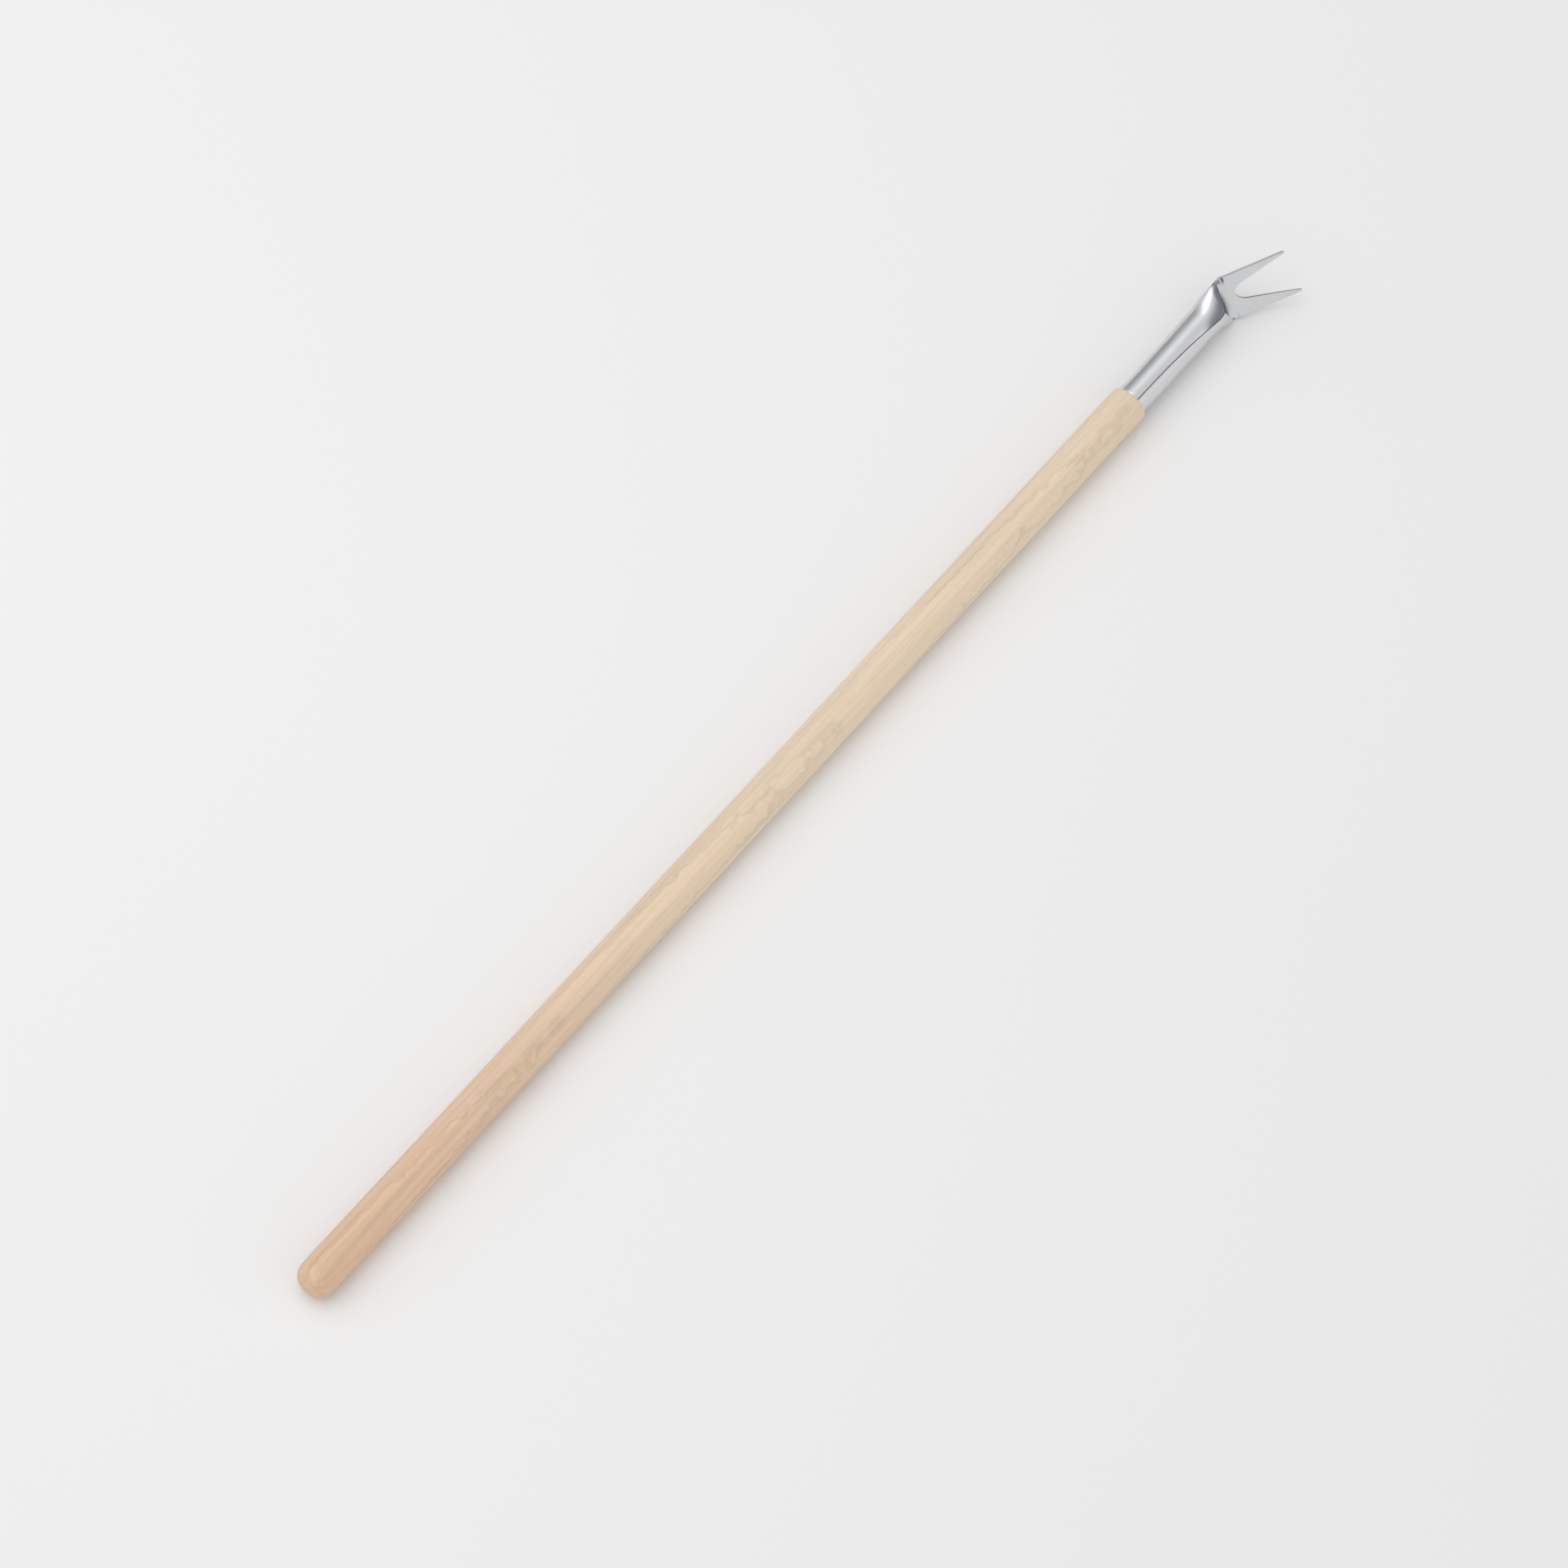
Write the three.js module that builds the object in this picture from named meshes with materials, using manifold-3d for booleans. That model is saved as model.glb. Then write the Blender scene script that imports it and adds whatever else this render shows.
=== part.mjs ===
// Marshmallow roasting fork: a turned wooden handle with a forked head rolled from one steel sheet.
// Millimetres, +Z up. The fork lies on the ground with its handle along +X and its tines forward.
// It rests on the handle and on the lower corner of the fork, which is rolled over on one side.
// Stations are distances forward from the handle's shoulder, where the socket starts.
import * as THREE from "three";
import { mergeVertices } from "three/addons/utils/BufferGeometryUtils.js";
import Module from "manifold-3d";

const wasm = await Module();
wasm.setup();

// Handle: a dowel with a domed butt and a tenon that fills the socket.
const HANDLE_DIAMETER = 22;
const HANDLE_LENGTH = 687;
const BUTT_FLAT_DIAMETER = 6;
const SHOULDER_ROUND = 1.4;
const TENON_DIAMETER = 15.2;
const TENON_LENGTH = 45;
const TENON_CHAMFER = 1;

// Fork head: one blank of sheet, rolled into a socket at the back and left flat at the front.
const SHEET = 1.2;
const SOCKET_DIAMETER_BACK = 18.2;
const SOCKET_DIAMETER_FRONT = 18.6;
const SOCKET_CLOSED_LENGTH = 74.3;
const SEAM_GAP = 0.8;
const SEAM_ANGLE_BACK = 29;
const SEAM_RUNOUT_STATION = 70;
const SEAM_POWER = 2.7;

// Neck: the tube widens into the fork while its seam opens and its floor and crown run together.
const WIDENING_START = 60.4;
const WIDENING_POWER = 2.4;
const CROWN_FALL_START = 64;
const CROWN_FALL_POWER = 2.4;
const FLOOR_BLEND = 1.5;
const CREASE_WRAP = 88;
const OPENING_POWER = 0.8;
const FLATTENING_POWER = 2;
const CREASE_STATION = 85.5;
const CREASE_SIDE = 1.5;
const SHIFT_POWER = 2;
const CREASE_HEIGHT = 2;

// Fork: a flat plate with slightly curled sides, cut by a notch into two pointed tines.
const FORK_WIDTH = 29.4;
const FORK_BEND = 37.5;
const FORK_DISH = 1.6;
const FORK_FLAT_HALF = 3;
const TINE_REACH = 36.6;
const NOTCH_SETBACK = 3.5;
const NOTCH_WIDTH = 8.6;
const NOTCH_ROUND = 4.4;
const TIP_WIDTH = 1.2;
const HEAD_ROLL = 62;

// Retaining pin through the underside of the socket into the tenon.
const PIN_STATION = 20;
const PIN_DIAMETER = 2.2;
const PIN_DEPTH = 9;
const PIN_HEAD_DIAMETER = 4.8;
const PIN_HEAD_HEIGHT = 1;

// Clearance between pieces that touch on the real fork.
const FIT_GAP = 0.3;

const ROUND_STEPS = 64;
const TO_RADIANS = Math.PI / 180;

const woodMaterial = new THREE.MeshStandardMaterial({
  color: "#d3b58c",
  roughness: 0.6,
  metalness: 0,
});
const steelMaterial = new THREE.MeshStandardMaterial({
  color: "#b9babb",
  roughness: 0.3,
  metalness: 1,
});
const pinMaterial = new THREE.MeshStandardMaterial({
  color: "#8f9092",
  roughness: 0.4,
  metalness: 1,
});

// The value a share t of the way from a to b.
function mix(a, b, t) {
  return a + (b - a) * t;
}

// Share of the way from start to end, held between 0 and 1.
function ramp01(value, start, end) {
  return Math.min(1, Math.max(0, (value - start) / (end - start)));
}

// The same share, eased in and out.
function smooth01(value, start, end) {
  const t = ramp01(value, start, end);
  return t * t * (3 - 2 * t);
}

// A closed geometry as a solid that can be cut.
function toManifold(geometry) {
  const bare = new THREE.BufferGeometry();
  const flat = geometry.index ? geometry.toNonIndexed() : geometry;
  bare.setAttribute("position", flat.getAttribute("position"));
  const welded = mergeVertices(bare, 1e-4);
  const mesh = new wasm.Mesh({
    numProp: 3,
    vertProperties: welded.attributes.position.array,
    triVerts: new Uint32Array(welded.index.array),
  });
  return new wasm.Manifold(mesh);
}

// What is left of one closed geometry once another is cut out of it.
function cutAway(geometry, tool) {
  const mesh = toManifold(geometry).subtract(toManifold(tool)).getMesh();
  const result = new THREE.BufferGeometry();
  result.setAttribute("position", new THREE.BufferAttribute(mesh.vertProperties, 3));
  result.setIndex(new THREE.BufferAttribute(mesh.triVerts, 1));
  result.computeVertexNormals();
  return result;
}

// A solid of revolution about +X from a list of [station, radius] that runs from axis to axis.
function turned(profile, steps) {
  const points = profile.map(([station, radius]) => new THREE.Vector2(radius, station));
  const geometry = new THREE.LatheGeometry(points, steps);
  geometry.rotateZ(-Math.PI / 2);
  return geometry;
}

// Radius of the middle of the socket's sheet at a station along the head.
function socketRadius(station) {
  const back = (SOCKET_DIAMETER_BACK - SHEET) / 2;
  const front = (SOCKET_DIAMETER_FRONT - SHEET) / 2;
  return mix(back, front, ramp01(station, 0, SOCKET_CLOSED_LENGTH));
}

// Angle of the seam about the handle's axis, in radians, from the fork's own middle plane.
function seamAngle(station) {
  const along = ramp01(station, 0, SEAM_RUNOUT_STATION);
  return TO_RADIANS * SEAM_ANGLE_BACK * (1 - Math.pow(along, SEAM_POWER));
}

// Half of the angle the rolled sheet wraps through: half a turn in the socket, less in the neck.
function halfWrap(station) {
  const closed = Math.PI - SEAM_GAP / (2 * socketRadius(station));
  const opened = Math.pow(ramp01(station, SOCKET_CLOSED_LENGTH, CREASE_STATION), OPENING_POWER);
  return mix(closed, CREASE_WRAP * TO_RADIANS, opened);
}

// Share of the flat fork's own section: none in the socket, all of it at the crease.
function flatness(station) {
  const along = ramp01(station, SOCKET_CLOSED_LENGTH, CREASE_STATION);
  return smooth01(Math.pow(along, FLATTENING_POWER), 0, 1);
}

// Half of the neck's breadth, which grows with a tangent level at the crease.
function halfBreadth(station) {
  const along = ramp01(station, WIDENING_START, CREASE_STATION);
  const wide = Math.pow(Math.sin(along * Math.PI / 2), WIDENING_POWER);
  return mix(socketRadius(station), FORK_WIDTH / 2, wide);
}

// Height of the neck's crown, on the seam side, above the handle's axis.
function crownHeight(station) {
  const along = ramp01(station, CROWN_FALL_START, CREASE_STATION);
  return mix(socketRadius(station), CREASE_HEIGHT, Math.pow(along, CROWN_FALL_POWER));
}

// Height of the neck's floor: the socket's underside, eased into the plane of the fork.
function floorHeight(station) {
  const radius = socketRadius(station);
  const plane = CREASE_HEIGHT + (station - CREASE_STATION) * Math.tan(FORK_BEND * TO_RADIANS);
  return FLOOR_BLEND * Math.log1p(Math.exp((plane + radius) / FLOOR_BLEND)) - radius;
}

// How far the fork's sides curl up from its flat middle, at a distance across from it.
function dish(across) {
  const beyond = Math.max(0, Math.abs(across) - FORK_FLAT_HALF);
  return FORK_DISH * (beyond / (FORK_WIDTH / 2 - FORK_FLAT_HALF)) ** 2;
}

// Cross-section point behind the crease. side runs from -1 at one edge of the blank to 1.
function rolledPoint(station, side) {
  const floor = floorHeight(station);
  const halfHeight = (crownHeight(station) - floor) / 2;
  const angle = halfWrap(station) * side;
  const flat = flatness(station);
  const flatAcross = (FORK_WIDTH / 2) * side;
  const across = mix(halfBreadth(station) * Math.sin(angle), flatAcross, flat);
  const up = floor + mix(halfHeight * (1 - Math.cos(angle)), dish(flatAcross), flat);
  const turn = seamAngle(station);
  const shift = CREASE_SIDE * Math.pow(station / CREASE_STATION, SHIFT_POWER);
  const y = across * Math.cos(turn) + up * Math.sin(turn) + shift;
  const z = -across * Math.sin(turn) + up * Math.cos(turn);
  return new THREE.Vector3(station, y, z);
}

// Point of the flat fork ahead of the crease, at a distance across from its middle line.
function forkPoint(station, across) {
  const reach = station - CREASE_STATION;
  const bend = FORK_BEND * TO_RADIANS;
  const curl = dish(across);
  return new THREE.Vector3(
    CREASE_STATION + reach * Math.cos(bend) - curl * Math.sin(bend),
    across + CREASE_SIDE,
    CREASE_HEIGHT + reach * Math.sin(bend) + curl * Math.cos(bend),
  );
}

// Half width of the notch between the tines: a round bottom, then straight flanks to the tips.
function notchHalfWidth(station) {
  const root = CREASE_STATION + NOTCH_SETBACK;
  const tip = CREASE_STATION + TINE_REACH;
  if (station <= root) {
    return 0;
  }
  const flank = mix(
    NOTCH_WIDTH / 2,
    FORK_WIDTH / 2 - TIP_WIDTH,
    ramp01(station, root, tip),
  );
  const round = 1 - ramp01(station, root, root + NOTCH_ROUND);
  return flank * Math.sqrt(1 - round * round);
}

// Point of the blank on one half of it: share runs from its middle line, or the notch, to its edge.
function sheetPoint(station, half, share) {
  if (station < CREASE_STATION) {
    return rolledPoint(station, half * share);
  }
  const inner = notchHalfWidth(station);
  return forkPoint(station, half * mix(inner, FORK_WIDTH / 2, share));
}

// Stations of the blank's rows, closest together where the neck and the notch turn fastest.
function stationList() {
  const root = CREASE_STATION + NOTCH_SETBACK;
  const stations = [];
  const run = (from, to, count) => {
    for (let i = 0; i < count; i += 1) {
      stations.push(mix(from, to, i / count));
    }
  };
  run(FIT_GAP, WIDENING_START, 10);
  run(WIDENING_START, SOCKET_CLOSED_LENGTH, 12);
  run(SOCKET_CLOSED_LENGTH, CREASE_STATION, 22);
  run(CREASE_STATION, root, 2);
  const roundSteps = 10;
  for (let i = 0; i < roundSteps; i += 1) {
    stations.push(root + NOTCH_ROUND * (1 - Math.cos((i / roundSteps) * Math.PI / 2)));
  }
  run(root + NOTCH_ROUND, CREASE_STATION + TINE_REACH, 8);
  stations.push(CREASE_STATION + TINE_REACH);
  return stations;
}

// Two half blanks welded along the middle line behind the notch, thickened both ways from the middle.
function sheetBody() {
  const stations = stationList();
  const columns = 18;
  const root = CREASE_STATION + NOTCH_SETBACK;
  const middle = [];
  const index = new Map();
  const vertexAt = (row, half, column) => {
    const shared = column === 0 && stations[row] <= root + 1e-9;
    const key = `${row}:${shared ? 0 : half}:${column}`;
    if (!index.has(key)) {
      index.set(key, middle.length);
      middle.push(sheetPoint(stations[row], half, column / columns));
    }
    return index.get(key);
  };
  const faces = [];
  for (let row = 0; row < stations.length - 1; row += 1) {
    for (const half of [-1, 1]) {
      for (let column = 0; column < columns; column += 1) {
        const a = vertexAt(row, half, column);
        const b = vertexAt(row + 1, half, column);
        const c = vertexAt(row + 1, half, column + 1);
        const d = vertexAt(row, half, column + 1);
        if (half > 0) {
          faces.push([a, b, c], [a, c, d]);
        } else {
          faces.push([a, c, b], [a, d, c]);
        }
      }
    }
  }
  return thickened(middle, faces, SHEET);
}

// Closed shell around a middle surface: both skins, and a wall along every free edge.
function thickened(middle, faces, thickness) {
  const normals = middle.map(() => new THREE.Vector3());
  const edges = new Map();
  for (const [a, b, c] of faces) {
    const ab = middle[b].clone().sub(middle[a]);
    const ac = middle[c].clone().sub(middle[a]);
    const normal = ab.cross(ac);
    for (const corner of [a, b, c]) {
      normals[corner].add(normal);
    }
    for (const [from, to] of [[a, b], [b, c], [c, a]]) {
      const twin = `${to}:${from}`;
      if (edges.has(twin)) {
        edges.delete(twin);
      } else {
        edges.set(`${from}:${to}`, [from, to]);
      }
    }
  }
  const half = thickness / 2;
  const skin = (side) => middle.map((point, i) => {
    const normal = normals[i].clone().normalize();
    return point.clone().addScaledVector(normal, side * half);
  });
  const corners = [...skin(1), ...skin(-1)];
  const under = middle.length;
  const triangles = [];
  for (const [a, b, c] of faces) {
    triangles.push(a, b, c);
    triangles.push(a + under, c + under, b + under);
  }
  for (const [from, to] of edges.values()) {
    triangles.push(from, from + under, to + under);
    triangles.push(from, to + under, to);
  }
  const geometry = new THREE.BufferGeometry();
  geometry.setFromPoints(corners);
  geometry.setIndex(triangles);
  geometry.computeVertexNormals();
  return geometry;
}

// Places something built on +X at the pin's station so that it points out of the socket's underside.
function onPinAxis(geometry) {
  const turn = seamAngle(PIN_STATION);
  geometry.rotateZ(Math.PI / 2);
  geometry.rotateX(-Math.PI / 2 - turn);
  geometry.translate(PIN_STATION, 0, 0);
  return geometry;
}

// Clearance hole for the pin, through the sheet and into the tenon.
function pinHole() {
  const radius = PIN_DIAMETER / 2 + FIT_GAP;
  const inner = socketRadius(PIN_STATION) - PIN_DEPTH - FIT_GAP;
  const outer = socketRadius(PIN_STATION) + SHEET * 2;
  return onPinAxis(turned([[inner, 0], [inner, radius], [outer, radius], [outer, 0]], 32));
}

// Round-headed nail driven through the sheet.
function pinBody() {
  const radius = PIN_DIAMETER / 2;
  const seat = socketRadius(PIN_STATION) + SHEET / 2 + FIT_GAP;
  const point = socketRadius(PIN_STATION) - PIN_DEPTH;
  const head = PIN_HEAD_DIAMETER / 2;
  const profile = [[point, 0], [point + radius, radius], [seat, radius], [seat, head]];
  const domeSteps = 6;
  for (let i = 1; i < domeSteps; i += 1) {
    const angle = (i / domeSteps) * Math.PI / 2;
    const station = seat + PIN_HEAD_HEIGHT * (0.3 + 0.7 * Math.sin(angle));
    profile.push([station, head * Math.cos(angle)]);
  }
  profile.push([seat + PIN_HEAD_HEIGHT, 0]);
  return onPinAxis(turned(profile, 32));
}

// Dowel whose shoulder lies at station 0 and whose butt points backwards.
function handleBody() {
  const radius = HANDLE_DIAMETER / 2;
  const flat = BUTT_FLAT_DIAMETER / 2;
  const tenon = TENON_DIAMETER / 2;
  const profile = [[-HANDLE_LENGTH, 0], [-HANDLE_LENGTH, flat]];
  const domeSteps = 10;
  for (let i = 1; i <= domeSteps; i += 1) {
    const angle = (i / domeSteps) * Math.PI / 2;
    const station = -HANDLE_LENGTH + (radius - flat) * 1.15 * (1 - Math.cos(angle));
    profile.push([station, flat + (radius - flat) * Math.sin(angle)]);
  }
  const roundSteps = 5;
  for (let i = 0; i <= roundSteps; i += 1) {
    const angle = (i / roundSteps) * Math.PI / 2;
    const station = -SHOULDER_ROUND + SHOULDER_ROUND * Math.sin(angle);
    profile.push([station, radius - SHOULDER_ROUND * (1 - Math.cos(angle))]);
  }
  profile.push([0, tenon]);
  profile.push([TENON_LENGTH - TENON_CHAMFER, tenon]);
  profile.push([TENON_LENGTH, tenon - TENON_CHAMFER]);
  profile.push([TENON_LENGTH, 0]);
  return turned(profile, ROUND_STEPS);
}

function namedMesh(name, geometry, material) {
  const mesh = new THREE.Mesh(geometry, material);
  mesh.name = name;
  return mesh;
}

const fork = new THREE.Group();
fork.name = "marshmallow_roasting_fork";
fork.add(namedMesh("handle", cutAway(handleBody(), pinHole()), woodMaterial));
fork.add(namedMesh("fork_head", cutAway(sheetBody(), pinHole()), steelMaterial));
fork.add(namedMesh("retaining_pin", pinBody(), pinMaterial));

// Roll the head about the handle's axis, then set the whole fork on the ground, centred on the origin.
fork.rotation.x = HEAD_ROLL * TO_RADIANS;
fork.updateMatrixWorld(true);
const box = new THREE.Box3().setFromObject(fork, true);
const middleOfBox = box.getCenter(new THREE.Vector3());
fork.position.set(-middleOfBox.x, -middleOfBox.y, -box.min.z);

export default fork;
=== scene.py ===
# %% [markdown]
# # A marshmallow roasting fork
# The fork has a long round beech handle and a head made from one piece of sheet steel. The back of the
# sheet is rolled into a socket round the handle's tenon, and the front is left as a fork with two points.
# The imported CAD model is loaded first. It gives every size and place, and each piece below is a finer
# surface in the same place.

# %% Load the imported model
import math

import bmesh
import bpy
import mathutils
import numpy as np
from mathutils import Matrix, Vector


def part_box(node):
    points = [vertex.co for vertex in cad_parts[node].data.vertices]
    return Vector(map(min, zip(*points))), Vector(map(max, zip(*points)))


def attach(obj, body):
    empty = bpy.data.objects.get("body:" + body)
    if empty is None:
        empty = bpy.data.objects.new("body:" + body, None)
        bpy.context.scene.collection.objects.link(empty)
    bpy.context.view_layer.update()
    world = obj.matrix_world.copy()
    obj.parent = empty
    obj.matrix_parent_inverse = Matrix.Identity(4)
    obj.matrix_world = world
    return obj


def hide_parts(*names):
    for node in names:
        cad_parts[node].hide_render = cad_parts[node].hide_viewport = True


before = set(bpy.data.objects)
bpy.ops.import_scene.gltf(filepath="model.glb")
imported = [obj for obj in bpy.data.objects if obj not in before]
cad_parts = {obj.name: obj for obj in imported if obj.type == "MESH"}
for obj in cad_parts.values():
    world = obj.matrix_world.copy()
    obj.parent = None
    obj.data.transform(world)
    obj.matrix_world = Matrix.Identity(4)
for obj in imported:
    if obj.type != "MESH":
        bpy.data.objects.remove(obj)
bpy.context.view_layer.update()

MM = 0.001

# %% [markdown]
# ## Where the handle lies
# Everything is placed from the handle's axis and from its shoulder, the ring where the wood stops and the
# steel begins. The handle's box gives both: the axis runs through the middle of its ends, and the shoulder
# is one tenon's length behind its front end.

# %% Measure the axis and the shoulder
HANDLE_RADIUS = 11.0
TENON_RADIUS = 7.6
TENON_LENGTH = 45.0
HEAD_ROLL = math.radians(62)

handle_low, handle_high = (np.array(corner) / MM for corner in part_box("handle"))
axis_y = (handle_low[1] + handle_high[1]) / 2
axis_z = (handle_low[2] + handle_high[2]) / 2
shoulder_x = handle_high[0] - TENON_LENGTH
handle_length = shoulder_x - handle_low[0]
print("handle in mm:", round(handle_length, 1), "axis height:", round(axis_z, 2))


def place(points):
    """Head's own millimetres to the model's metres: turned about the handle's axis by the head's roll,
    then moved to the shoulder. y' = y cos(roll) - z sin(roll) and z' = y sin(roll) + z cos(roll)."""
    x, y, z = points[..., 0], points[..., 1], points[..., 2]
    turned_y = y * math.cos(HEAD_ROLL) - z * math.sin(HEAD_ROLL)
    turned_z = y * math.sin(HEAD_ROLL) + z * math.cos(HEAD_ROLL)
    return np.stack([x + shoulder_x, turned_y + axis_y, turned_z + axis_z], axis=-1) * MM


# %% [markdown]
# ## From a grid of points to a piece
# Each surface is worked out as a whole array of rows and columns of points. One helper joins neighbours
# into four-sided faces, and merges points that fall together, which closes seams and poles.

# %% Helper: put grids of points into one mesh
def smooth_piece(name, grids, closed_around=False, values=None):
    """Quads between row i, i+1 and column j, j+1 of every grid; the last column joins the first if the
    surface is closed around. Doubles are merged, then the normals are made to agree. values is a name
    and one number for each point, kept on the mesh for its material to read."""
    points, quads, start = [], [], 0
    for grid in grids:
        rows, columns = grid.shape[:2]
        ids = start + np.arange(rows * columns).reshape(rows, columns)
        if closed_around:
            ids = np.concatenate([ids, ids[:, :1]], axis=1)
        corners = [ids[:-1, :-1], ids[1:, :-1], ids[1:, 1:], ids[:-1, 1:]]
        quads.append(np.stack(corners, axis=-1).reshape(-1, 4))
        points.append(grid.reshape(-1, 3))
        start += rows * columns
    mesh = bpy.data.meshes.new(name)
    mesh.from_pydata(np.concatenate(points).tolist(), [], np.concatenate(quads).tolist())
    if values:
        layer = mesh.attributes.new(values[0], "FLOAT", "POINT")
        layer.data.foreach_set("value", np.concatenate([array.ravel() for array in values[1]]))
    bm = bmesh.new()
    bm.from_mesh(mesh)
    bmesh.ops.remove_doubles(bm, verts=bm.verts, dist=0.002 * MM)
    bmesh.ops.recalc_face_normals(bm, faces=bm.faces)
    bm.to_mesh(mesh)
    bm.free()
    mesh.polygons.foreach_set("use_smooth", np.ones(len(mesh.polygons), dtype=bool))
    piece = bpy.data.objects.new(name, mesh)
    bpy.context.scene.collection.objects.link(piece)
    print(name, "has", len(mesh.vertices), "points and", len(mesh.polygons), "faces")
    return piece


def smooth01(value, start, end):
    """0 before start, 1 after end, and 3t^2 - 2t^3 between them."""
    t = np.clip((value - start) / (end - start), 0, 1)
    return t * t * (3 - 2 * t)


def mix(a, b, t):
    """a where t is 0, b where t is 1."""
    return a + (b - a) * t


# %% [markdown]
# ## The handle
# The real handle is a beech dowel. Its butt is rounded over and sanded, its front shoulder has a small
# radius, and the wood beyond the shoulder is cut down to a tenon that fills the steel socket. Such a shape
# is a profile turned round an axis. Sanding by hand leaves it a few hundredths of a millimetre out of
# round, which bends its highlights a little, so the radius changes slowly along and around the dowel.

# %% Handle profile
BUTT_FLAT_RADIUS = 3.0
BUTT_DEPTH = (HANDLE_RADIUS - BUTT_FLAT_RADIUS) * 1.15
SHOULDER_ROUND = 1.4
TENON_CHAMFER = 1.0


def handle_profile():
    """Stations and radii from the butt's centre to the tenon's centre. The butt is a quarter ellipse
    around a small flat: station = depth (1 - cos a), radius = flat + (R - flat) sin a. The shoulder is a
    quarter circle."""
    quarter = np.linspace(0, np.pi / 2, 25)
    butt_x = -handle_length + BUTT_DEPTH * (1 - np.cos(quarter))
    butt_r = BUTT_FLAT_RADIUS + (HANDLE_RADIUS - BUTT_FLAT_RADIUS) * np.sin(quarter)
    body_x = np.linspace(butt_x[-1], -SHOULDER_ROUND, 180)[1:-1]
    body_r = np.full_like(body_x, HANDLE_RADIUS)
    turn = np.linspace(0, np.pi / 2, 9)
    round_x = -SHOULDER_ROUND + SHOULDER_ROUND * np.sin(turn)
    round_r = HANDLE_RADIUS - SHOULDER_ROUND * (1 - np.cos(turn))
    tenon_x = np.array([0, 0.2, 20, TENON_LENGTH - TENON_CHAMFER, TENON_LENGTH, TENON_LENGTH])
    tenon_r = np.array([TENON_RADIUS] * 4 + [TENON_RADIUS - TENON_CHAMFER, 0.0])
    stations = np.concatenate([[-handle_length], butt_x, body_x, round_x, tenon_x])
    radii = np.concatenate([[0.0], butt_r, body_r, round_r, tenon_r])
    return stations, radii


def handle_grid(columns=144):
    """Point at station x and angle a: (x, r cos a, r sin a). r is the profile's radius less up to 0.05 mm,
    by slow sine waves along x and twice around."""
    stations, radii = handle_profile()
    angle = np.linspace(0, 2 * np.pi, columns, endpoint=False)[None, :]
    x = np.repeat(stations[:, None], columns, axis=1)
    unevenness = np.sin(x / 61 + 2 * angle) + np.sin(x / 23 + angle + 1.3)
    radius = radii[:, None] * (1 - 0.0012 * (2 + unevenness))
    return np.stack([x, radius * np.cos(angle), radius * np.sin(angle)], axis=-1)


handle = smooth_piece("beech_handle", [place(handle_grid())], closed_around=True)

# %% [markdown]
# ## The fork head
# The real head starts as a flat blank: wide at the back, narrow at the front, with a notch cut between two
# points. The wide part is rolled round until its edges meet along a seam, the neck opens out of that roll,
# and the fork is bent up at a crease. The model does the same. Every point has a station along the blank
# and a side from -1 to 1 across it, and one function says where rolling and bending take it. A Solidify
# modifier then gives the sheet its thickness, and a small Bevel breaks its cut edges.

# %% Rolling the socket
SHEET = 1.2
SOCKET_BACK = 8.5
SOCKET_FRONT = 8.7
CLOSED_TO = 74.3
SEAM_GAP = 0.5
CREASE = 85.5
CREASE_SIDE = 1.5
CREASE_HEIGHT = 2.0
SHIFT_POWER = 2
FORK_HALF = 14.7
FORK_BEND = math.radians(37.5)
FORK_DISH = 1.6
FORK_FLAT_HALF = 3
SEAM_ANGLE_BACK = 29
SEAM_RUNOUT = 70
SEAM_POWER = 2.7


def share_between(value, start, end):
    """0 before start, 1 after end, and an even rise between them."""
    return np.clip((value - start) / (end - start), 0, 1)


def socket_radius(station):
    """Radius of the sheet's middle, growing evenly from the wood to the end of the closed seam."""
    return mix(SOCKET_BACK, SOCKET_FRONT, share_between(station, 0, CLOSED_TO))


def seam_angle(station):
    """Angle of the seam about the axis: 29 degrees at the wood, falling to 0 at 70 mm, slowly at first."""
    return np.radians(SEAM_ANGLE_BACK * (1 - share_between(station, 0, SEAM_RUNOUT) ** SEAM_POWER))


def dish(across):
    """Rise of the fork's sides above its flat middle, as the square of the distance beyond 3 mm."""
    beyond = np.clip(np.abs(across) - FORK_FLAT_HALF, 0, None)
    return FORK_DISH * (beyond / (FORK_HALF - FORK_FLAT_HALF)) ** 2


# %% Opening the neck
WIDENING_START = 60.4
WIDENING_POWER = 2.4
CROWN_FALL_START = 64
CROWN_FALL_POWER = 2.4
FLOOR_BLEND = 1.5
CREASE_WRAP = math.radians(88)
OPENING_POWER = 0.8
FLATTENING_POWER = 2


def half_breadth(station):
    """Socket's radius, growing to the fork's half width by sin(pi t / 2)^2.4, which arrives level."""
    along = share_between(station, WIDENING_START, CREASE)
    return mix(socket_radius(station), FORK_HALF, np.sin(along * np.pi / 2) ** WIDENING_POWER)


def crown_height(station):
    """Top of the neck, on the seam side: it falls to the crease by the power 2.4 of the way there."""
    along = share_between(station, CROWN_FALL_START, CREASE)
    return mix(socket_radius(station), CREASE_HEIGHT, along ** CROWN_FALL_POWER)


def floor_height(station):
    """Bottom of the neck: the socket's underside eased into the fork's own plane, which is carried back.
    The easing is k log(1 + e^(h/k)), where h is the plane's height above the underside and k is 1.5 mm."""
    radius = socket_radius(station)
    plane = CREASE_HEIGHT + (station - CREASE) * math.tan(FORK_BEND)
    return FLOOR_BLEND * np.log1p(np.exp((plane + radius) / FLOOR_BLEND)) - radius


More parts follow.
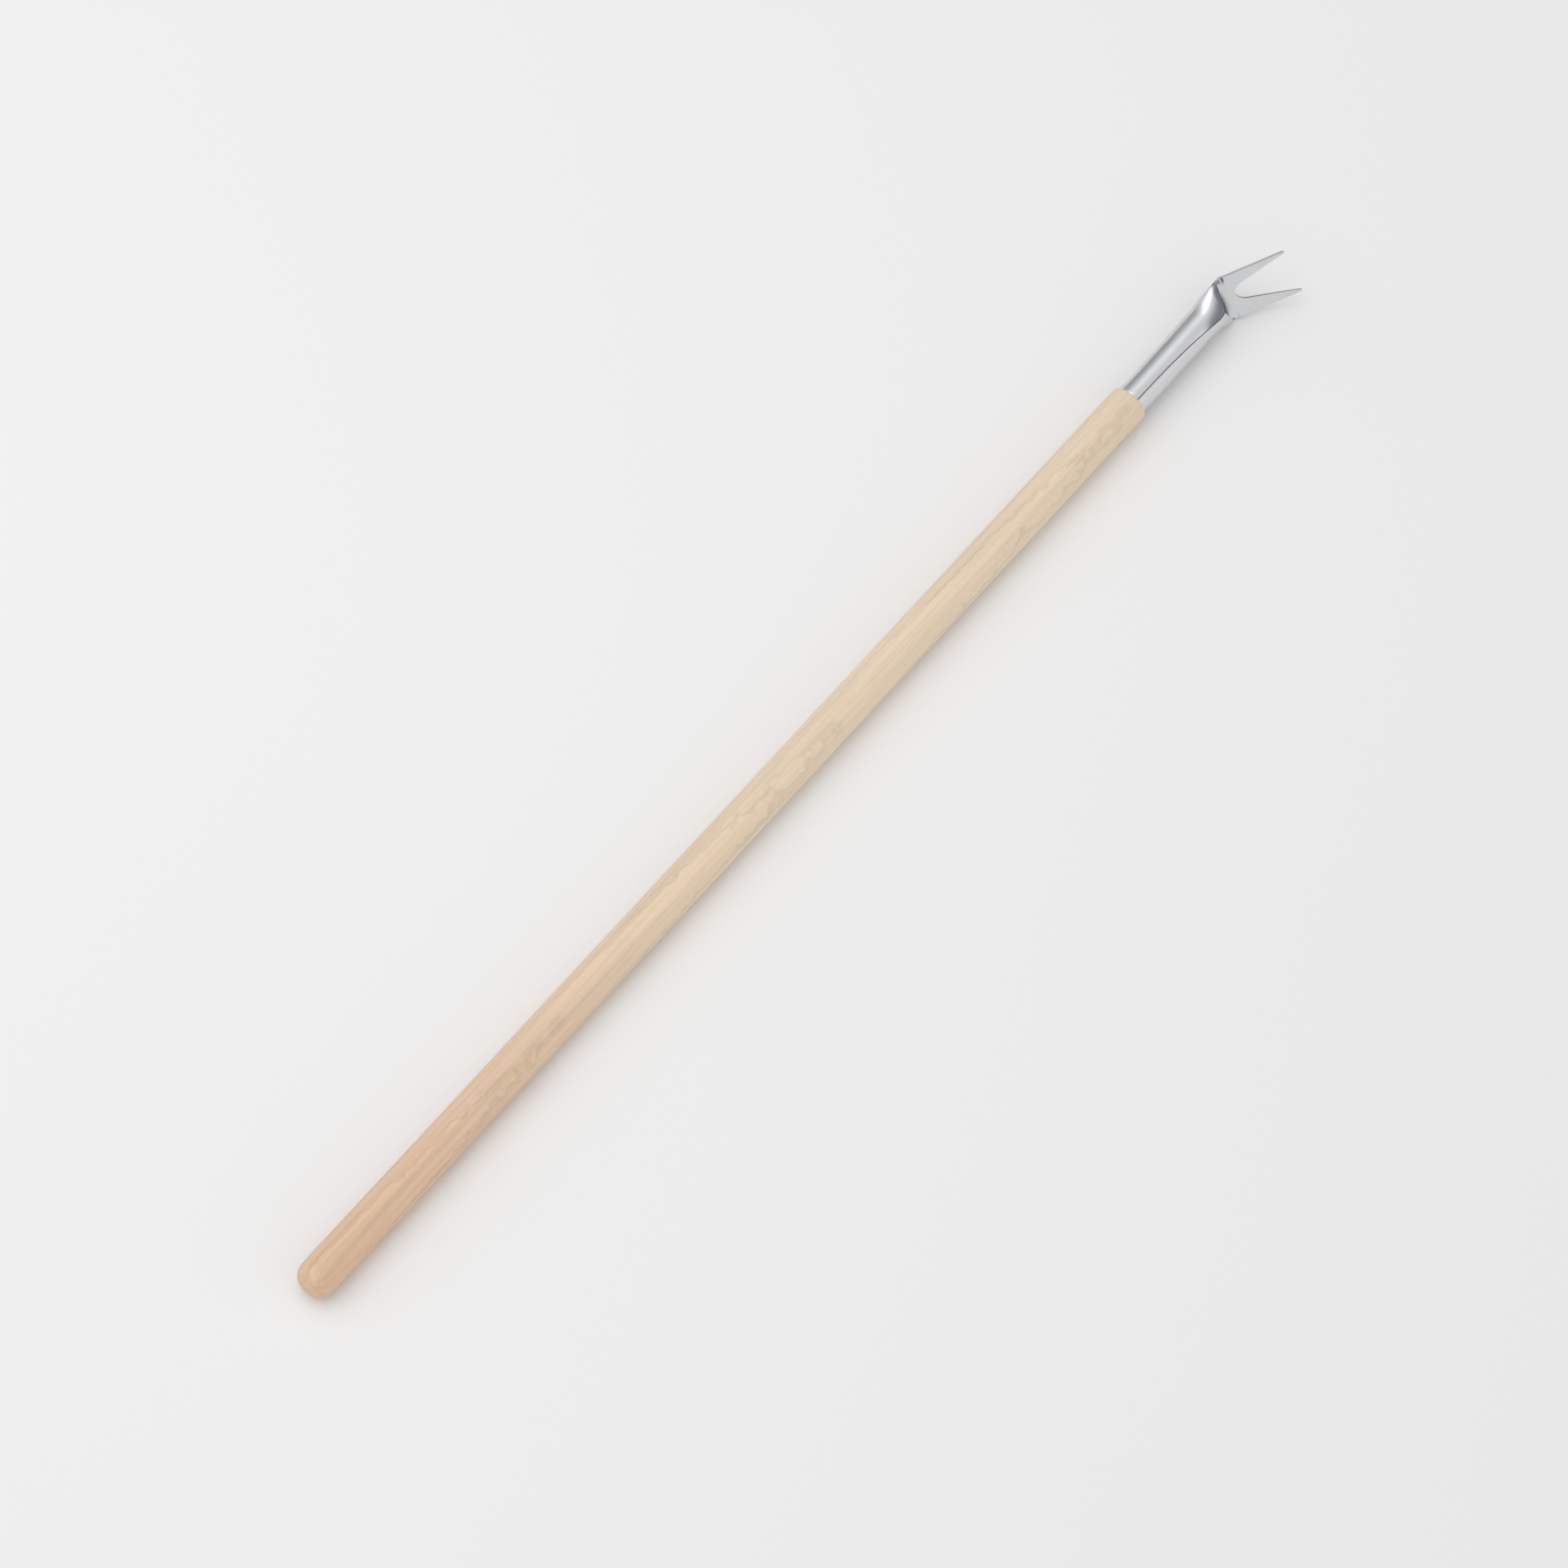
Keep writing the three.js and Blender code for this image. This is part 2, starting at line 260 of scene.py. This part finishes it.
def rolled(station, side):
    """Behind the crease. Half an ellipse's turn has across = a sin(ws) and rise = b (1 - cos(ws)), where
    w is the angle that the sheet wraps each way. The wrap falls from half a turn to 88 degrees, and the
    arc is mixed with the flat fork's section. The whole section is turned to put the seam in its place."""
    opened = share_between(station, CLOSED_TO, CREASE)
    closed_wrap = np.pi - SEAM_GAP / (2 * socket_radius(station))
    angle = mix(closed_wrap, CREASE_WRAP, opened ** OPENING_POWER) * side
    flat = smooth01(opened ** FLATTENING_POWER, 0, 1)
    floor = floor_height(station)
    half_height = (crown_height(station) - floor) / 2
    across = mix(half_breadth(station) * np.sin(angle), FORK_HALF * side, flat)
    up = floor + mix(half_height * (1 - np.cos(angle)), dish(FORK_HALF * side), flat)
    turn = seam_angle(station)
    y = across * np.cos(turn) + up * np.sin(turn) + CREASE_SIDE * (station / CREASE) ** SHIFT_POWER
    z = up * np.cos(turn) - across * np.sin(turn)
    return np.stack([station + 0 * side, y, z], axis=-1)


# %% Bending the fork and cutting its notch
TINE_REACH = 36.6
NOTCH_ROOT = CREASE + 3.5
NOTCH_HALF = 4.3
NOTCH_ROUND = 4.4
TIP_WIDTH = 1.2
TIP = CREASE + TINE_REACH


def flat_fork(station, across):
    """Ahead of the crease: a plane that leaves it at the bend angle, with its sides curled up."""
    reach = station - CREASE
    curl = dish(across)
    x = CREASE + reach * math.cos(FORK_BEND) - curl * math.sin(FORK_BEND)
    z = CREASE_HEIGHT + reach * math.sin(FORK_BEND) + curl * math.cos(FORK_BEND)
    return np.stack([x, across + CREASE_SIDE, z], axis=-1)


def notch_half(station):
    """Half width of the notch: straight flanks from its root to the tips, times sqrt(1 - q^2) near the
    root, where q falls from 1 to 0, which makes its bottom round."""
    way = share_between(station, NOTCH_ROOT, TIP)
    flank = mix(NOTCH_HALF, FORK_HALF - TIP_WIDTH, way)
    q = 1 - share_between(station, NOTCH_ROOT, NOTCH_ROOT + NOTCH_ROUND)
    return flank * np.sqrt(1 - q * q)


def head_point(station, share, half):
    """Rolled behind the crease and flat ahead of it. share runs from the notch or the middle line (0) to
    the blank's edge (1), and half is -1 or 1."""
    behind = rolled(station, half * share)
    ahead = flat_fork(station, half * mix(notch_half(station), FORK_HALF, share))
    return np.where((station < CREASE)[..., None], behind, ahead)


SOCKET_START = 0.3
SOFTENING = 1.2
SOFTENED_REACH = 2.2


def head_rows(columns=60):
    """Stations and shares of one half of the head. Rows are closest where the neck and notch turn."""
    curve = NOTCH_ROOT + NOTCH_ROUND * (1 - np.cos(np.linspace(0, np.pi / 2, 22)))
    stations = np.concatenate([
        np.linspace(SOCKET_START, 58, 40)[:-1],
        np.linspace(58, CLOSED_TO, 50)[:-1],
        np.linspace(CLOSED_TO, NOTCH_ROOT, 100)[:-1],
        curve[:-1],
        np.linspace(curve[-1], TIP, 50),
    ])
    return np.meshgrid(stations, np.linspace(0, 1, columns), indexing="ij")


def head_grid(half):
    """One half of the head. The crease is softened by averaging the surface over 1.2 mm either side of
    it: P(s) = sum of w P(s + d), with weights w that fall off evenly."""
    station, share = head_rows()
    reach = SOFTENING * np.exp(-((station - CREASE) / SOFTENED_REACH) ** 2)
    offsets = np.linspace(-1, 1, 9)
    weights = 1 - np.abs(offsets) * 0.8
    weights = weights / np.sum(weights)
    before_notch = station < NOTCH_ROOT - 0.01
    softened = sum(
        weight * head_point(np.minimum(station + offset * reach, NOTCH_ROOT), share, half)
        for offset, weight in zip(offsets, weights)
    )
    plain = head_point(station, share, half)
    return np.where(before_notch[..., None], softened, plain)


# Painted shade in the neck's mouth: how far in from the free edge it reaches, and how soft its edge is.
PAINTED_SHADE_DEPTH_BACK = 0.02
PAINTED_SHADE_DEPTH_FRONT = 0.33
PAINTED_SHADE_EDGE = 0.10


def painted_neck_shade(half):
    """Share of painted shade at each point, on the left half only. It is a darker, slightly blue patch that
    stands in for the dark reflection and the shadow in the neck's mouth.
    It is a product of smooth steps. One runs across the blank from its free edge, and reaches in from 2
    percent of the half width at the socket to 33 percent near the crease. Two run along it: the painted shade
    grows from station 54 and ends at the crease."""
    station, share = head_rows()
    if half < 0:
        return np.zeros_like(station)
    inner_edge = 1 - mix(PAINTED_SHADE_DEPTH_BACK, PAINTED_SHADE_DEPTH_FRONT, share_between(station, 55, 80))
    across = smooth01(share, inner_edge - PAINTED_SHADE_EDGE, inner_edge + PAINTED_SHADE_EDGE)
    return across * smooth01(station, 54, 64) * (1 - smooth01(station, 82.5, CREASE))


# The head carries the share of painted shade on each point, for the steel material to read.
head = smooth_piece(
    "rolled_fork_head",
    [place(head_grid(-1)), place(head_grid(1))],
    values=("painted_neck_shade", [painted_neck_shade(-1), painted_neck_shade(1)]),
)

# %% Give the sheet its thickness
thickness = head.modifiers.new("sheet_thickness", "SOLIDIFY")
thickness.thickness = SHEET * MM
thickness.offset = 0
thickness.use_even_offset = False
thickness.material_offset_rim = 1

broken_edge = head.modifiers.new("broken_edges", "BEVEL")
broken_edge.width = 0.22 * MM
broken_edge.segments = 3
broken_edge.limit_method = "ANGLE"
broken_edge.angle_limit = math.radians(50)

# %% [markdown]
# ## The retaining pin
# A socket like this is kept from pulling off by a nail through its underside. Only its low round head
# shows. It is a turned profile too, on an axis that points away from the seam.

# %% Retaining pin
PIN_STATION = 20.0
PIN_RADIUS = 1.1
PIN_DEPTH = 9
PIN_HEAD_RADIUS = 2.4
PIN_SEAT_GAP = 0.05


def pin_grid(columns=48):
    """A profile of height h and radius r turned round the line that leaves the axis opposite the seam.
    The head's crown follows r = R cos a and h = seat + 0.3 + 0.7 sin a."""
    seat = socket_radius(PIN_STATION) + SHEET / 2 + PIN_SEAT_GAP
    crown = np.linspace(0, np.pi / 2, 10)
    low = socket_radius(PIN_STATION) - PIN_DEPTH
    height = np.concatenate([[low, low + PIN_RADIUS, seat, seat], seat + 0.3 + 0.7 * np.sin(crown)])
    radius = np.concatenate([[0.0, PIN_RADIUS, PIN_RADIUS, PIN_HEAD_RADIUS], PIN_HEAD_RADIUS * np.cos(crown)])
    angle = np.linspace(0, 2 * np.pi, columns, endpoint=False)[None, :]
    turn = seam_angle(PIN_STATION)
    side_x = radius[:, None] * np.cos(angle)
    side_t = radius[:, None] * np.sin(angle)
    down = np.repeat(height[:, None], columns, axis=1)
    y = -down * math.sin(turn) + side_t * math.cos(turn)
    z = -down * math.cos(turn) - side_t * math.sin(turn)
    return np.stack([PIN_STATION + side_x, y, z], axis=-1)


pin = smooth_piece("retaining_pin_head", [place(pin_grid())], closed_around=True)

# %% [markdown]
# ## Colours and nodes
# Colours are written as they look on a screen, in sRGB hex. Blender's shaders work with linear light, so
# one function turns a hex value to linear. A second small function adds a node to a material, with its
# settings and its links, so that each material below reads as a list of what it is made of.

# %% Helpers for materials
def linear(hex_colour):
    """sRGB hex to linear RGBA: c/12.92 below 0.04045, otherwise ((c + 0.055) / 1.055)^2.4."""
    channels = [int(hex_colour[i:i + 2], 16) / 255 for i in (1, 3, 5)]
    return tuple(c / 12.92 if c <= 0.04045 else ((c + 0.055) / 1.055) ** 2.4 for c in channels) + (1.0,)


def add_node(tree, kind, inputs=None, **settings):
    """Adds a node. Settings are its own options. Inputs are sockets by name or number, each given a value
    or another node's output to link from."""
    node = tree.nodes.new(kind)
    for option, value in settings.items():
        setattr(node, option, value)
    for socket, value in (inputs or {}).items():
        if isinstance(value, bpy.types.NodeSocket):
            tree.links.new(value, node.inputs[socket])
        else:
            node.inputs[socket].default_value = value
    return node


def colour_ramp(tree, factor, stops):
    """A ramp from positions to colours or greys."""
    ramp = add_node(tree, "ShaderNodeValToRGB", {0: factor})
    while len(ramp.color_ramp.elements) < len(stops):
        ramp.color_ramp.elements.new(0.5)
    for element, (position, colour) in zip(ramp.color_ramp.elements, stops):
        element.position = position
        element.color = colour if isinstance(colour, tuple) else (colour, colour, colour, 1)
    return ramp.outputs[0]


def new_material(name):
    """An empty node material, with a Principled shader joined to its output."""
    material = bpy.data.materials.new(name)
    material.use_nodes = True
    tree = material.node_tree
    tree.nodes.clear()
    shader = tree.nodes.new("ShaderNodeBsdfPrincipled")
    output = tree.nodes.new("ShaderNodeOutputMaterial")
    tree.links.new(shader.outputs[0], output.inputs[0])
    return material, tree, shader


# %% [markdown]
# ## Beech, sanded
# Beech is a pale pink-tan hardwood with a fine, even grain. A dowel planed from a board and sanded shows
# growth rings as long soft streaks where they run out of its side, fine pores as hair-thin lines, and the
# short brown dashes of its rays. It has no varnish here, so it is matt, and the sanding leaves a faint
# lengthwise tooth. All patterns are read in object coordinates, so they run through the wood and also give
# end grain on the rounded butt.

# %% Beech material
beech, tree, shader = new_material("beech_dowel_sanded")
place_in_wood = add_node(tree, "ShaderNodeTexCoord").outputs["Object"]

# Rings 6 mm apart round a pith 45 mm from the dowel, with the grain a degree off the dowel's axis.
ring_space = add_node(tree, "ShaderNodeMapping", {
    "Vector": place_in_wood, "Location": (0, -0.036, 0.030), "Rotation": (0, 0.016, 0.021),
})
rings = add_node(tree, "ShaderNodeTexWave", {
    "Vector": ring_space.outputs[0], "Scale": 52.0, "Distortion": 3.0, "Detail": 2.0,
    "Detail Scale": 1.5, "Detail Roughness": 0.6,
}, wave_type="RINGS", rings_direction="X", wave_profile="SAW")

# Fibres: 1.2 mm wide and 60 mm long, wider than real pores so that they show.
fibre_space = add_node(tree, "ShaderNodeMapping", {"Vector": place_in_wood, "Scale": (16, 850, 850)})
fibres = add_node(tree, "ShaderNodeTexNoise", {
    "Vector": fibre_space.outputs[0], "Scale": 1.0, "Detail": 4.0, "Roughness": 0.62,
})
# Streaks: 5 mm wide and 200 mm long, the slow change of tone along a board.
streak_space = add_node(tree, "ShaderNodeMapping", {"Vector": place_in_wood, "Scale": (5, 190, 190)})
streaks = add_node(tree, "ShaderNodeTexNoise", {
    "Vector": streak_space.outputs[0], "Scale": 1.0, "Detail": 2.0, "Roughness": 0.5,
})
# Rays: dashes 0.5 mm by 3 mm.
ray_space = add_node(tree, "ShaderNodeMapping", {"Vector": place_in_wood, "Scale": (330, 1900, 1900)})
rays = add_node(tree, "ShaderNodeTexVoronoi", {
    "Vector": ray_space.outputs[0], "Scale": 1.0, "Randomness": 1.0,
})
# The wood is a little pinker and darker towards the butt, where the tree's heart was.
along = add_node(tree, "ShaderNodeSeparateXYZ", {0: place_in_wood})
heart = add_node(tree, "ShaderNodeMapRange", {
    "Value": along.outputs[0], "From Min": -0.42, "From Max": 0.02, "To Min": 1.0, "To Max": 0.0,
}, interpolation_type="SMOOTHSTEP")

base = add_node(tree, "ShaderNodeMix", {
    "Factor": heart.outputs[0], "A": linear("#F1DBBF"), "B": linear("#E6C2A2"),
}, data_type="RGBA")
ring_tone = colour_ramp(tree, rings.outputs["Fac"], [(0.0, 0.98), (0.75, 0.95), (0.94, 0.86), (1.0, 0.96)])
fibre_tone = colour_ramp(tree, fibres.outputs["Fac"], [(0.30, 0.90), (0.52, 1.0), (0.75, 1.04)])
streak_tone = colour_ramp(tree, streaks.outputs["Fac"], [(0.30, 0.91), (0.50, 1.0), (0.72, 1.04)])
ray_tone = colour_ramp(tree, rays.outputs["Distance"], [(0.0, 0.82), (0.16, 0.9), (0.24, 1.0)])
toned = base.outputs["Result"]
for tone in (ring_tone, fibre_tone, streak_tone, ray_tone):
    toned = add_node(tree, "ShaderNodeMix", {"Factor": 1.0, "A": toned, "B": tone},
                     data_type="RGBA", blend_type="MULTIPLY").outputs["Result"]
tree.links.new(toned, shader.inputs["Base Color"])
roughness = add_node(tree, "ShaderNodeMapRange", {
    "Value": fibres.outputs["Fac"], "To Min": 0.62, "To Max": 0.50,
})
tree.links.new(roughness.outputs[0], shader.inputs["Roughness"])
tooth = add_node(tree, "ShaderNodeBump", {
    "Height": fibres.outputs["Fac"], "Strength": 0.25, "Distance": 0.1 * MM,
})
tree.links.new(tooth.outputs[0], shader.inputs["Normal"])
shader.inputs["IOR"].default_value = 1.5
handle.data.materials.append(beech)

# %% [markdown]
# ## Sheet steel, polished
# The head is cold-rolled steel sheet that was buffed before it was bent. It mirrors the room softly: the
# buffing leaves fine lines along the blank, and rolling and bending leave slow dents that bend the
# reflections. There is a little dulling where hands and food touch it. Beside the seam at the neck a darker,
# slightly blue patch is painted shade: it stands in for the dark reflection and the shadow in the neck's
# mouth.

# %% Steel material
steel, tree, shader = new_material("sheet_steel_buffed")
on_steel = add_node(tree, "ShaderNodeTexCoord").outputs["Object"]
buff_space = add_node(tree, "ShaderNodeMapping", {"Vector": on_steel, "Scale": (60, 1400, 1400)})
buffing = add_node(tree, "ShaderNodeTexNoise", {
    "Vector": buff_space.outputs[0], "Scale": 1.0, "Detail": 3.0, "Roughness": 0.6,
})
dents = add_node(tree, "ShaderNodeTexNoise", {
    "Vector": on_steel, "Scale": 120.0, "Detail": 1.0, "Roughness": 0.5,
})
handling = add_node(tree, "ShaderNodeTexNoise", {
    "Vector": on_steel, "Scale": 70.0, "Detail": 3.0, "Roughness": 0.55,
})
steel_colour = add_node(tree, "ShaderNodeMix", {
    "Factor": handling.outputs["Fac"], "A": linear("#E2E3E5"), "B": linear("#D8D9DB"),
}, data_type="RGBA")
# Painted shade: the steel is mixed towards a dark blue-grey where the neck's dark reflection and shadow fall.
painted_shade_share = add_node(tree, "ShaderNodeAttribute", attribute_name="painted_neck_shade", attribute_type="GEOMETRY")
steel_with_painted_shade = add_node(tree, "ShaderNodeMix", {
    "Factor": painted_shade_share.outputs["Fac"], "A": steel_colour.outputs["Result"], "B": linear("#84858F"),
}, data_type="RGBA")
tree.links.new(steel_with_painted_shade.outputs["Result"], shader.inputs["Base Color"])
dulling = add_node(tree, "ShaderNodeMapRange", {
    "Value": handling.outputs["Fac"], "From Min": 0.3, "From Max": 0.7, "To Min": 0.20, "To Max": 0.30,
})
tree.links.new(dulling.outputs[0], shader.inputs["Roughness"])
fine_lines = add_node(tree, "ShaderNodeBump", {
    "Height": buffing.outputs["Fac"], "Strength": 0.12, "Distance": 0.05 * MM,
})
slow_dents = add_node(tree, "ShaderNodeBump", {
    "Height": dents.outputs["Fac"], "Strength": 0.25, "Distance": 0.25 * MM, "Normal": fine_lines.outputs[0],
})
tree.links.new(slow_dents.outputs[0], shader.inputs["Normal"])
shader.inputs["Metallic"].default_value = 1.0
head.data.materials.append(steel)

# %% [markdown]
# ## Sheared edges
# Sheet is cut with a shear or a punch. The cut face is torn for part of its depth, and the buffing wheel
# passes over it, so every edge of the head is greyer and rougher than its faces.

# %% Cut edge material
cut_edge, tree, shader = new_material("steel_sheared_edge")
on_edge = add_node(tree, "ShaderNodeTexCoord").outputs["Object"]
tearing = add_node(tree, "ShaderNodeTexNoise", {
    "Vector": on_edge, "Scale": 1200.0, "Detail": 2.0, "Roughness": 0.6,
})
edge_colour = add_node(tree, "ShaderNodeMix", {
    "Factor": tearing.outputs["Fac"], "A": linear("#BEBFC2"), "B": linear("#A2A3A6"),
}, data_type="RGBA")
tree.links.new(edge_colour.outputs["Result"], shader.inputs["Base Color"])
torn = add_node(tree, "ShaderNodeBump", {
    "Height": tearing.outputs["Fac"], "Strength": 0.3, "Distance": 0.05 * MM,
})
tree.links.new(torn.outputs[0], shader.inputs["Normal"])
shader.inputs["Metallic"].default_value = 1.0
shader.inputs["Roughness"].default_value = 0.42
head.data.materials.append(cut_edge)

# %% [markdown]
# ## Bright nail steel
# Nails are cut from drawn wire and tumbled, which leaves them grey and evenly soft.

# %% Nail material
nail, tree, shader = new_material("wire_nail_tumbled")
on_nail = add_node(tree, "ShaderNodeTexCoord").outputs["Object"]
tumbling = add_node(tree, "ShaderNodeTexNoise", {
    "Vector": on_nail, "Scale": 900.0, "Detail": 2.0, "Roughness": 0.6,
})
nail_colour = add_node(tree, "ShaderNodeMix", {
    "Factor": tumbling.outputs["Fac"], "A": linear("#A9AAAC"), "B": linear("#8E8F92"),
}, data_type="RGBA")
tree.links.new(nail_colour.outputs["Result"], shader.inputs["Base Color"])
scuffs = add_node(tree, "ShaderNodeBump", {
    "Height": tumbling.outputs["Fac"], "Strength": 0.2, "Distance": 0.05 * MM,
})
tree.links.new(scuffs.outputs[0], shader.inputs["Normal"])
shader.inputs["Metallic"].default_value = 1.0
shader.inputs["Roughness"].default_value = 0.38
pin.data.materials.append(nail)

# %% [markdown]
# ## What each piece stands for
# The handle, the head and the pin are one rigid body, so all three ride on the root. Each takes the place
# of its plain CAD solid.

# %% Attach the pieces
for piece, cad_node, slot in (
    (handle, "handle", "wood"),
    (head, "fork_head", "steel"),
    (pin, "retaining_pin", "pin_steel"),
):
    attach(piece, "root")
    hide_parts(cad_node)
    print(piece.name, "stands for", cad_node)

# %% [markdown]
# ## Studio
# The fork lies on a pale sheet under one broad soft light. The light hangs beyond the fork and a little
# towards its butt, so the only shadow is a soft one close under the near side. Steel shows what is around
# it, so the room matters: it is pale, with a darker wall low down on the far side, a brighter ceiling and
# a brighter window on the near side.

# %% Floor
floor_mesh = bpy.data.meshes.new("floor")
FLOOR_HALF = 6.0
floor_corners = [(-FLOOR_HALF, -FLOOR_HALF, 0), (FLOOR_HALF, -FLOOR_HALF, 0),
                 (FLOOR_HALF, FLOOR_HALF, 0), (-FLOOR_HALF, FLOOR_HALF, 0)]
floor_mesh.from_pydata(floor_corners, [], [(0, 1, 2, 3)])
floor = bpy.data.objects.new("floor", floor_mesh)
bpy.context.scene.collection.objects.link(floor)
paper, tree, shader = new_material("matt_paper")
on_paper = add_node(tree, "ShaderNodeTexCoord").outputs["Object"]
paper_tone = add_node(tree, "ShaderNodeTexNoise", {"Vector": on_paper, "Scale": 1.5, "Detail": 1.0})
paper_colour = add_node(tree, "ShaderNodeMix", {
    "Factor": paper_tone.outputs["Fac"], "A": linear("#F6F6F6"), "B": linear("#F4F4F4"),
}, data_type="RGBA")
tree.links.new(paper_colour.outputs["Result"], shader.inputs["Base Color"])
shader.inputs["Roughness"].default_value = 0.9
shader.inputs["Specular IOR Level"].default_value = 0.1
floor.data.materials.append(paper)

# %% Room
scene = bpy.context.scene
scene.view_settings.view_transform = "Standard"
room = bpy.data.worlds.new("studio_room")
room.use_nodes = True
tree = room.node_tree
tree.nodes.clear()
direction = add_node(tree, "ShaderNodeTexCoord").outputs["Generated"]


def towards(axis, start, end):
    """How nearly the looked-at direction agrees with an axis, as a share that rises smoothly from 0 to 1
    as their dot product goes from start to end."""
    agreement = add_node(tree, "ShaderNodeVectorMath", {0: direction, 1: axis}, operation="DOT_PRODUCT")
    return add_node(tree, "ShaderNodeMapRange", {
        "Value": agreement.outputs["Value"], "From Min": start, "From Max": end,
    }, interpolation_type="SMOOTHSTEP").outputs[0]


def room_tone(under, over, share):
    """One grey of the room laid over what is there, by a share."""
    return add_node(tree, "ShaderNodeMix", {
        "Factor": share, "A": under, "B": (over, over, over, 1),
    }, data_type="RGBA").outputs["Result"]


far_side = towards((0.95, 0.30, 0.0), 0.10, 0.85)
low_down = towards((0.0, 0.0, -1.0), -0.85, -0.42)
far_and_low = add_node(tree, "ShaderNodeMath", {0: far_side, 1: low_down}, operation="MULTIPLY").outputs[0]
PALE_WALL = 0.79
DARK_WALL = 0.30
CEILING = 0.95
WINDOW = 0.90
walls = room_tone((PALE_WALL, PALE_WALL, PALE_WALL, 1), DARK_WALL, far_and_low)
with_ceiling = room_tone(walls, CEILING, towards((0.30, 0.20, 0.93), 0.90, 0.99))
with_window = room_tone(with_ceiling, WINDOW, towards((0.40, -0.87, 0.29), 0.90, 1.0))
background = add_node(tree, "ShaderNodeBackground", {"Color": with_window, "Strength": 1.0})
output = add_node(tree, "ShaderNodeOutputWorld", {0: background.outputs[0]})
scene.world = room

# %% Soft light
def soft_light(name, location, target, size, power):
    """A square area light at a place, turned to face a target."""
    data = bpy.data.lights.new(name, "AREA")
    data.shape = "SQUARE"
    data.size = size
    data.energy = power
    light = bpy.data.objects.new(name, data)
    scene.collection.objects.link(light)
    place_at = np.array(location, dtype=float)
    look = np.array(target, dtype=float) - place_at
    light.location = place_at
    light.rotation_euler = mathutils.Vector(look).to_track_quat("-Z", "Y").to_euler()
    return light


SOFTBOX_PLACE = (-0.35, 0.70, 1.60)
SOFTBOX_SIZE = 2.2
SOFTBOX_WATTS = 9.5
soft_light("softbox", SOFTBOX_PLACE, (0, 0, 0), SOFTBOX_SIZE, SOFTBOX_WATTS)

# %% [markdown]
# ## Camera
# A long lens a few metres away keeps the handle nearly parallel-sided, as it looks from a distance. The
# camera looks down at sixty degrees from beside the butt, so the handle runs up the frame from corner to
# corner.

# %% Camera
AZIMUTH = math.radians(-51.22)
ELEVATION = math.radians(60.0)
CAMERA_DISTANCE = 7.2
FRAME_WIDTH = 0.838
SHOULDER_RIGHT_OF_CENTRE = 0.1847
SHOULDER_ABOVE_CENTRE = 0.2038
right = np.array([math.cos(AZIMUTH), math.sin(AZIMUTH), 0.0])
back = np.array([
    math.sin(AZIMUTH) * math.cos(ELEVATION),
    -math.cos(AZIMUTH) * math.cos(ELEVATION),
    math.sin(ELEVATION),
])
up = np.cross(back, right)
shoulder = np.array([shoulder_x, axis_y, axis_z]) * MM
target = shoulder - right * SHOULDER_RIGHT_OF_CENTRE - up * SHOULDER_ABOVE_CENTRE
camera_data = bpy.data.cameras.new("camera")
camera_data.sensor_width = 36.0
camera_data.lens = 36.0 * CAMERA_DISTANCE / FRAME_WIDTH
camera_data.clip_end = 50.0
camera = bpy.data.objects.new("camera", camera_data)
scene.collection.objects.link(camera)
turn = mathutils.Matrix([right, up, back]).transposed().to_4x4()
camera.matrix_world = mathutils.Matrix.Translation(target + back * CAMERA_DISTANCE) @ turn
scene.camera = camera
print("camera at", np.round(target + back * CAMERA_DISTANCE, 3), "lens", round(camera_data.lens, 1))
